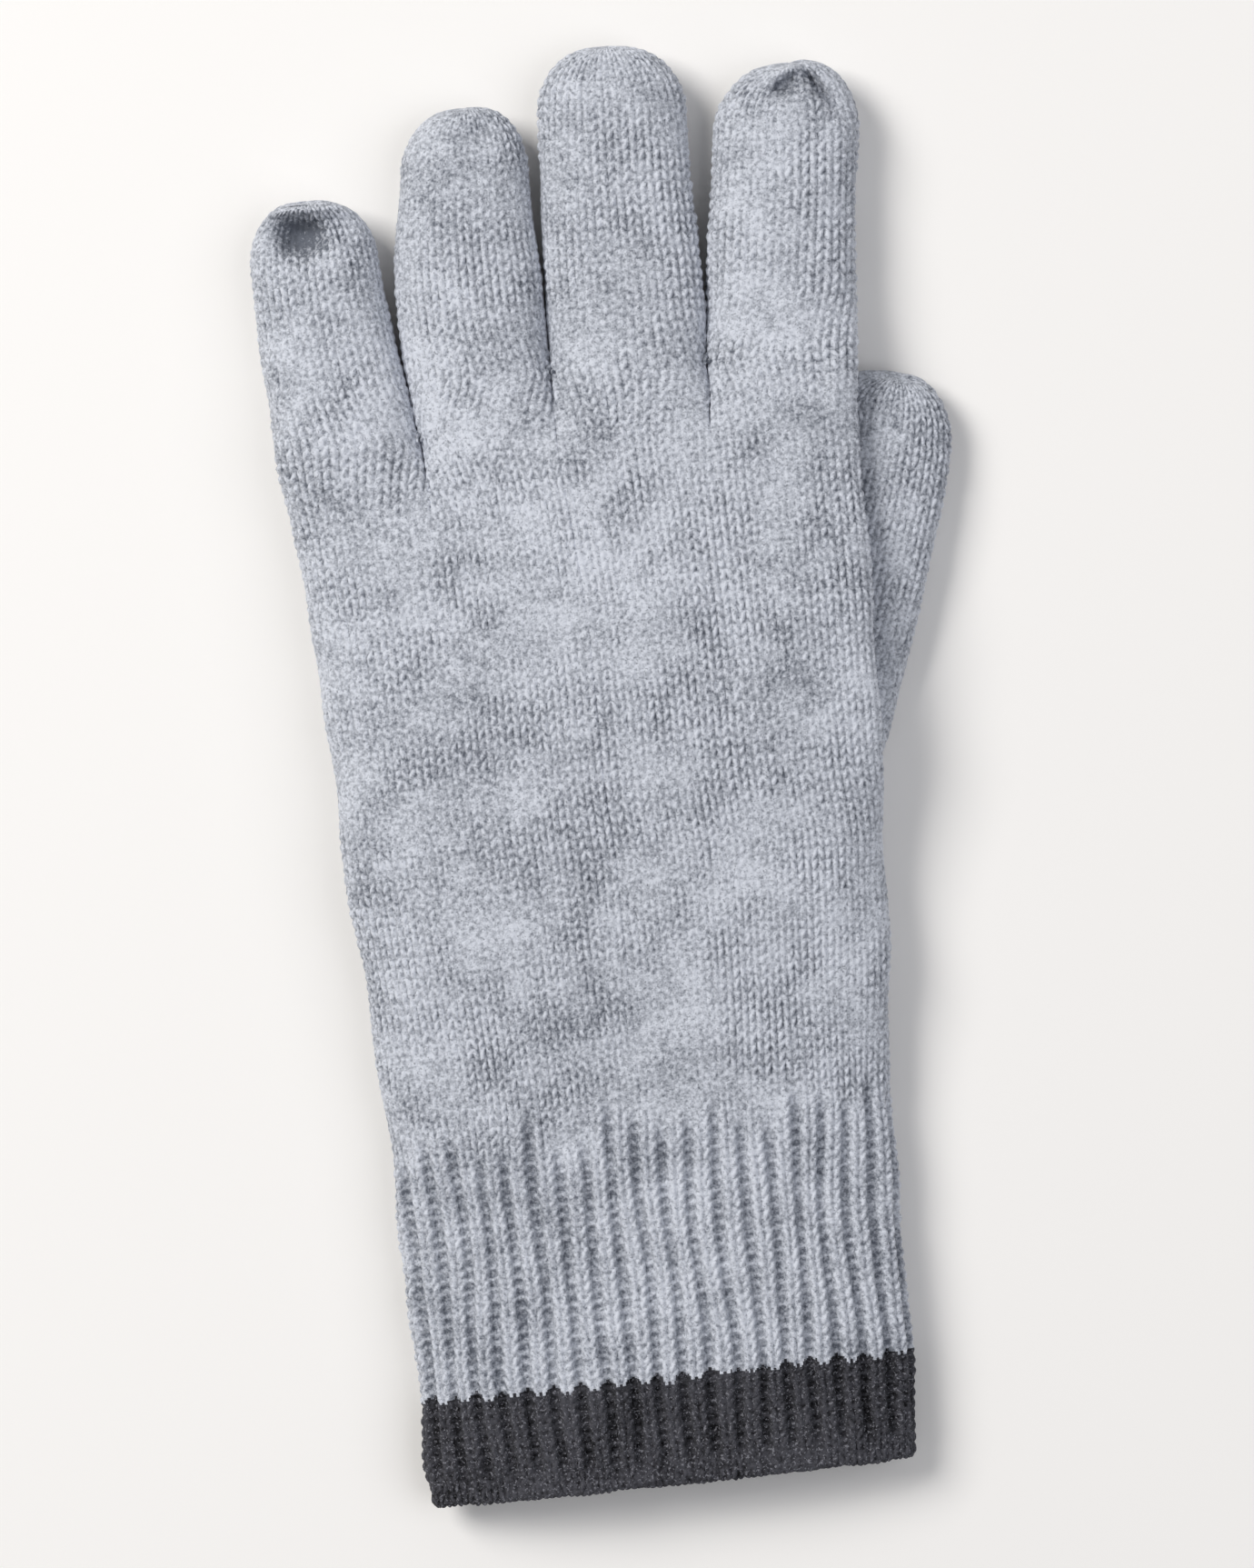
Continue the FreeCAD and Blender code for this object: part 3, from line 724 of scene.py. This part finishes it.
def closed_tip(base, reach, lean, dimple, folds, shift, seed):
    """The rows of a tip drawn shut: from its last full row to the gather, which may be turned up
    towards the back. The gather is drawn in by dimple, puckered by folds, and sits off to one side
    by shift."""
    middle = np.array([(base[:, 0].min() + base[:, 0].max()) / 2, base[0, 1],
                       (base[:, 2].min() + base[:, 2].max()) / 2])
    half = np.ptp(base, axis=0)[[0, 2]] / 2
    turn = np.arctan2((base[:, 2] - middle[2]) / half[1], (base[:, 0] - middle[0]) / half[0])
    count = int(round((half[0] + reach) / 2 * 1.52 / COURSE)) * ROWS
    rng = np.random.default_rng(seed)
    phase = rng.uniform(0, 6.28, 3)
    rows = []
    for step in range(1, count + 1):
        up = step / count * math.radians(87)
        x, y, z = math.cos(up) * np.cos(turn), math.sin(up) + 0 * turn, math.cos(up) * np.sin(turn)
        bow = lean * float(smooth(up, 0.1, 1.35))
        y, z = y * math.cos(bow) - z * math.sin(bow), y * math.sin(bow) + z * math.cos(bow)
        size = sum(np.abs(part) ** TIP_ROUND for part in (x, y, z)) ** (-1 / TIP_ROUND)
        near = math.exp(-((math.pi / 2 - up) / 0.42) ** 2)
        wide = math.exp(-((math.pi / 2 - up) / 0.75) ** 2)
        pucker = folds * wide * (np.sin(3 * turn + phase[0]) + 0.7 * np.sin(5 * turn + phase[1])
                                 + 0.4 * np.sin(2 * turn + phase[2]))
        size = size * (1 - dimple * near + pucker * (1 - 0.6 * near))
        row = middle + np.stack([half[0] * x, reach * y, half[1] * z], 1) * size[:, None]
        rows.append(row + np.array([shift * math.sin(up) ** 2, 0, 0]))
    return rows


TIPS = {
    "little": dict(lean=0.1, dimple=0.05, folds=0.015, shift=-0.3),
    "ring": dict(lean=0.05, dimple=0.04, folds=0.010, shift=1.2),
    "middle": dict(lean=0.1, dimple=0.04, folds=0.010, shift=0.0),
    "index": dict(lean=0.15, dimple=0.06, folds=0.020, shift=2.2),
}
# Hollows pressed into the back near a tip: across from its middle, down from its end, turn in
# degrees, reach along and across the hollow, how much softer its lower side is, and depth.
DENTS = {
    "little": [(-0.8, 1.9, -6, 7.0, 1.3, 1.0, -2.6), (-1.4, 5.4, -14, 4.4, 2.1, 2.3, 6.6),
               (3.4, 5.8, -64, 4.2, 1.4, 1.3, -1.3)],
    "ring": [(2.0, 5.0, 20, 3.0, 1.6, 2.0, 0.8)],
    "middle": [(-2.0, 5.5, -15, 4.0, 1.8, 2.0, 0.7)],
    "index": [(-1.4, 3.8, 32, 2.6, 1.0, 1.8, 4.2), (4.4, 5.0, -56, 3.8, 0.9, 1.2, 4.6),
              (0.8, 1.8, 10, 4.5, 1.2, 1.0, -1.2)],
}

# A hollow this deep, in mm, gets the darkest painted shade.
DEEPEST = 6.0


def dented(grid, out, finger):
    """The finger's rows with its tip's hollows pressed in from the back, and how deep each point
    lies in a hollow, from 0 to 1, which sets how much painted shade the wool gets there."""
    end = grid[..., 1].max()
    middle = (grid[-1, :, 0].min() + grid[-1, :, 0].max()) / 2
    grid = grid.copy()
    hollow = np.zeros(grid.shape[:2])
    for across, down, turn, long, wide, soft, depth in DENTS[finger]:
        x, y = grid[..., 0] - middle - across, grid[..., 1] - end + down
        c, s = math.cos(math.radians(turn)), math.sin(math.radians(turn))
        u, v = x * c + y * s, y * c - x * s
        v = np.where(v < 0, v / soft, v)
        press = depth * np.exp(-(u / long) ** 2 - (v / wide) ** 2)
        press = press * smooth(out[..., 2], -0.1, 0.5)
        grid[..., 2] -= press
        # The depth in a hollow, kept for the painted shade laid on the wool there.
        hollow += np.clip(press, 0, None) / DEEPEST
    return grid, np.clip(hollow, 0, 1)


def finger_sheets(finger):
    row = FINGERS[finger]
    order = list(FINGERS).index(finger)
    start = HAND_ROWS * COURSE
    count = int((row["cap"] - start) / COURSE * ROWS)
    straight = [finger_row(start + n * COURSE / ROWS, finger) for n in range(count + 1)]
    tip = TIPS[finger]
    capped = closed_tip(straight[-1], row["tip"] - straight[-1][0, 1], tip["lean"], tip["dimple"],
                        tip["folds"], tip["shift"], 40 + order)
    grid = np.array(straight + capped)
    out = outward_of(grid)
    grid, hollow = dented(grid, out, finger)
    out = outward_of(grid)
    free = smooth(np.arange(len(grid)), 0, 10 * ROWS)[:, None]
    grid = grid + out * (uneven(grid, 5, 0.9) * (1 - free) + uneven(grid, 60 + order, 0.7) * free)[..., None]
    grid = laid_down(grid, TABLE_GAP)
    out = outward_of(grid)
    columns = np.arange(grid.shape[1]) / CELLS + order * 10 - (order > 0)
    courses = HAND_ROWS + np.arange(len(grid))[:, None] / ROWS
    loft = stitch_loft(grid)
    around = grid.shape[1]
    own = (order > 0) * CELLS + np.arange(10 * CELLS + 1)
    shared = order * 10 * CELLS + np.arange(10 * CELLS + 1)
    own = np.concatenate([own, (around - own) % around])
    shared = np.concatenate([shared, (ring - shared) % ring])
    near = 1 - smooth(np.arange(len(grid)), 0, 3 * ROWS)[:, None]
    grid[:, own] += (body_grid[-1, shared] - grid[0, own]) * near[..., None]
    out[:, own] += (body_out[-1, shared] - out[:, own]) * near[..., None]
    loft[:, own] += (body_loft[-1, shared] - loft[:, own]) * near
    lining = (grid - 1.2 * out)[::2 * ROWS]
    # hollow carries the painted shade of the tip's hollows.
    return [dict(grid=grid, ring=True, wale=columns, course=courses, loft=loft, outward=out,
                 hollow=hollow, pole=True),
            dict(grid=lining, ring=True, flip=True, pole=True)]


for order, finger in enumerate(FINGERS):
    piece = knit(finger + "_finger_knit", finger_sheets(finger), light_wool, 7)
    fork = PARTED[0] if finger == "little" else 196.0
    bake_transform(piece)
    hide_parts(finger + "_finger_tube", finger + "_tip_gather")

# ---------------------------------------------------------------- fork ties
# A short length of the same wool over each fork, which ties the back to the palm and closes the
# little hole that is left when a finger is picked up.
def twisted_tie(name, centre, reach, thick):
    """A two-ply strand that goes down through a fork, in mm."""
    steps, sides = 24, 10
    points, faces = [], []
    for ply in (0, 1):
        base = len(points)
        for n in range(steps + 1):
            t = n / steps
            bow = math.sin(math.pi * t)
            turn = 2 * math.pi * (1.6 * t + ply / 2)
            middle = np.array([math.cos(turn) * thick * 0.55, bow * 1.2 + math.sin(turn) * thick * 0.55,
                               (t - 0.5) * 2 * reach])
            swell = thick * (0.25 + 0.75 * min(1, 6 * t, 6 * (1 - t)))
            for k in range(sides):
                a = 2 * math.pi * k / sides
                points.append(middle + np.array([math.cos(a), math.sin(a), 0]) * swell * 0.55)
        for n in range(steps):
            for k in range(sides):
                a, b = base + n * sides + k, base + n * sides + (k + 1) % sides
                faces.append((a, b, b + sides, a + sides))
        faces.append(tuple(base + k for k in range(sides))[::-1])
        faces.append(tuple(base + steps * sides + k for k in range(sides)))
    place = (np.array(points) + np.array(centre) + np.array([0, HEM_Y, 0])) * MM
    mesh = bpy.data.meshes.new(name)
    mesh.from_pydata([tuple(p) for p in place], [], faces)
    mesh.polygons.foreach_set("use_smooth", [True] * len(faces))
    mesh.materials.append(light_wool)
    tie = bpy.data.objects.new(name, mesh)
    bpy.context.scene.collection.objects.link(tie)
    return tie


for fork, pair in enumerate(("little_ring", "ring_middle", "middle_index")):
    at = PARTED[fork] + 1.5
    x = float(along(at, *FORKS[fork]))
    tie = twisted_tie("fork_tie_" + pair, (x, at - 1.0, 0.48 * float(thickness(at))), 4.0, 0.9)
    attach(tie, "hand")
    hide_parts("crotch_join_" + pair)

# ---------------------------------------------------------------- thumb
# Worked out of an opening in the palm and folded in flat under the hand.
def thumb_sheets():
    start, cap, tip = -14.0, 55.0, 67.3
    count = int((cap - start) / COURSE * ROWS)
    stitches = 22 * CELLS
    turn = np.arange(stitches) / stitches * 2 * math.pi
    rows = []
    for n in range(count + 1):
        up = start + n * COURSE / ROWS
        wide = 12.35 - 0.9 * float(smooth(up, 30, 60)) - 1.5 * (1 - float(smooth(up, -14, 6)))
        high = 4.45 + 0.3 * math.sin(up / 14)
        dense = np.linspace(0, 2 * math.pi, 721)
        size = (np.abs(np.cos(dense)) ** 2.4 + np.abs(np.sin(dense)) ** 2.4) ** (-1 / 2.4)
        x, z = -wide * np.cos(dense) * size, high * np.sin(dense) * size
        length = run_length(x, z)
        place = turn / (2 * math.pi) * length[-1]
        rows.append(np.stack([np.interp(place, length, x), np.full(stitches, up),
                              np.interp(place, length, z) + high + 0.1], 1))
    capped = closed_tip(rows[-1], tip - rows[-1][0, 1], 0.25, 0.12, 0.02, 0.0, 50)
    grid = np.array(rows + capped)
    grid[..., 0] -= 1.3 * smooth(grid[..., 1], 45, 67)
    out = outward_of(grid)
    grid = grid + out * uneven(grid, 90, 0.5)[..., None]
    c, s = math.cos(THUMB_LEAN), math.sin(THUMB_LEAN)
    turned = np.stack([THUMB_ROOT_X + grid[..., 0] * c + grid[..., 1] * s,
                       THUMB_ROOT_AT - grid[..., 0] * s + grid[..., 1] * c, grid[..., 2]], 2)
    turned = laid_down(turned, TABLE_GAP)
    out = outward_of(turned)
    loft = stitch_loft(turned)
    lining = (turned - 1.2 * out)[::2 * ROWS]
    return [dict(grid=turned, ring=True, wale=np.arange(stitches) / CELLS,
                 course=np.arange(len(turned))[:, None] / ROWS, loft=loft, outward=out, pole=True),
            dict(grid=lining, ring=True, flip=True, pole=True)]


thumb = knit("thumb_knit", thumb_sheets(), light_wool, 9)
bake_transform(thumb)
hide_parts("thumb_tube", "thumb_tip_gather")
